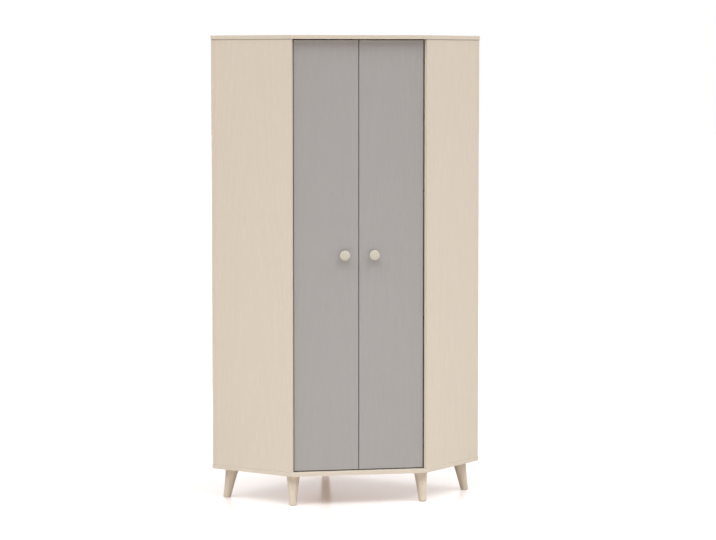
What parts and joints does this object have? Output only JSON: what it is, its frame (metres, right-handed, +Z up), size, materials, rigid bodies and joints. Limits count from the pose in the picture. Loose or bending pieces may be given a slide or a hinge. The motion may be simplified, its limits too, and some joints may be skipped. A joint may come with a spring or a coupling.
{
  "type": "corner wardrobe",
  "caption": "Tall five-sided corner wardrobe with inset hinged doors, round knobs, a hat shelf, a hanging rail and splayed turned legs.",
  "frame": {"origin": "on the floor, at the middle of the wardrobe's width and depth", "axes": "+Z up, front towards -Y, rear corner towards +Y, +X to the right seen from the front"},
  "size_m": [1.272, 0.9634, 2.143],
  "materials": {
    "ash_laminate": "satin laminate with fine vertical grain",
    "grey_laminate": "satin laminate with fine vertical grain",
    "knob_wood": "satin lacquer",
    "leg_wood": "satin lacquer",
    "nickel_plated_steel": "nickel plate",
    "zinc_plated_steel": "zinc plate",
    "grey_plastic": "moulded, fine matt texture",
    "polished_chrome": "polished"
  },
  "bodies": {
    "carcass": {"top_panel": "ash_laminate", "bottom_panel": "ash_laminate", "left_end_panel": "ash_laminate", "left_back_panel": "ash_laminate", "right_end_panel": "ash_laminate", "right_back_panel": "ash_laminate", "bottom_door_stop": "grey_plastic", "top_door_stop": "grey_plastic", "hat_shelf": "ash_laminate", "hanging_rail": "polished_chrome", "left_rail_bracket": "polished_chrome", "right_rail_bracket": "polished_chrome", "left_front_leg": "leg_wood", "left_front_leg_bolt": "zinc_plated_steel", "left_side_leg": "leg_wood", "left_side_leg_bolt": "zinc_plated_steel", "right_front_leg": "leg_wood", "right_front_leg_bolt": "zinc_plated_steel", "right_side_leg": "leg_wood", "right_side_leg_bolt": "zinc_plated_steel", "rear_leg": "leg_wood", "rear_leg_bolt": "zinc_plated_steel", "left_bottom_hinge_arm": "nickel_plated_steel", "left_lower_hinge_arm": "nickel_plated_steel", "left_upper_hinge_arm": "nickel_plated_steel", "left_top_hinge_arm": "nickel_plated_steel", "right_bottom_hinge_arm": "nickel_plated_steel", "right_lower_hinge_arm": "nickel_plated_steel", "right_upper_hinge_arm": "nickel_plated_steel", "right_top_hinge_arm": "nickel_plated_steel"},
    "left_door": {"left_door": "grey_laminate", "left_knob": "knob_wood", "left_knob_screw": "zinc_plated_steel", "left_bottom_hinge_cup": "nickel_plated_steel", "left_lower_hinge_cup": "nickel_plated_steel", "left_upper_hinge_cup": "nickel_plated_steel", "left_top_hinge_cup": "nickel_plated_steel"},
    "left_outer_links": {"left_bottom_hinge_outer_link": "zinc_plated_steel", "left_lower_hinge_outer_link": "zinc_plated_steel", "left_upper_hinge_outer_link": "zinc_plated_steel", "left_top_hinge_outer_link": "zinc_plated_steel"},
    "left_inner_links": {"left_bottom_hinge_inner_link": "zinc_plated_steel", "left_lower_hinge_inner_link": "zinc_plated_steel", "left_upper_hinge_inner_link": "zinc_plated_steel", "left_top_hinge_inner_link": "zinc_plated_steel"},
    "right_door": {"right_door": "grey_laminate", "right_knob": "knob_wood", "right_knob_screw": "zinc_plated_steel", "right_bottom_hinge_cup": "nickel_plated_steel", "right_lower_hinge_cup": "nickel_plated_steel", "right_upper_hinge_cup": "nickel_plated_steel", "right_top_hinge_cup": "nickel_plated_steel"},
    "right_outer_links": {"right_bottom_hinge_outer_link": "zinc_plated_steel", "right_lower_hinge_outer_link": "zinc_plated_steel", "right_upper_hinge_outer_link": "zinc_plated_steel", "right_top_hinge_outer_link": "zinc_plated_steel"},
    "right_inner_links": {"right_bottom_hinge_inner_link": "zinc_plated_steel", "right_lower_hinge_inner_link": "zinc_plated_steel", "right_upper_hinge_inner_link": "zinc_plated_steel", "right_top_hinge_inner_link": "zinc_plated_steel"}
  },
  "joints": [
    {"name": "left_outer_link_pivot", "type": "hinge", "parent": "carcass", "child": "left_outer_links", "pos_m": [-0.27529, -0.42331, 1.14], "axis": [0, 0, -1], "range_deg": [0, 47.5]},
    {"name": "left_door_pivot", "type": "hinge", "parent": "left_outer_links", "child": "left_door", "pos_m": [-0.27689, -0.44161, 1.14], "axis": [0, 0, -1], "range_deg": [0, 47.5]},
    {"name": "left_inner_link_pivot", "type": "hinge", "parent": "carcass", "child": "left_inner_links", "pos_m": [-0.27099, -0.42801, 1.14], "axis": [0, 0, -1], "range_deg": [0, 47.5]},
    {"name": "right_outer_link_pivot", "type": "hinge", "parent": "carcass", "child": "right_outer_links", "pos_m": [0.27529, -0.42331, 1.14], "axis": [0, 0, 1], "range_deg": [0, 47.5]},
    {"name": "right_door_pivot", "type": "hinge", "parent": "right_outer_links", "child": "right_door", "pos_m": [0.27689, -0.44161, 1.14], "axis": [0, 0, 1], "range_deg": [0, 47.5]},
    {"name": "right_inner_link_pivot", "type": "hinge", "parent": "carcass", "child": "right_inner_links", "pos_m": [0.27099, -0.42801, 1.14], "axis": [0, 0, 1], "range_deg": [0, 47.5]}
  ],
  "couplings": [
    {"joint": "left_door_pivot", "follows": "left_outer_link_pivot", "ratio": 1},
    {"joint": "left_inner_link_pivot", "follows": "left_outer_link_pivot", "ratio": 1},
    {"joint": "right_door_pivot", "follows": "right_outer_link_pivot", "ratio": 1},
    {"joint": "right_inner_link_pivot", "follows": "right_outer_link_pivot", "ratio": 1}
  ]
}
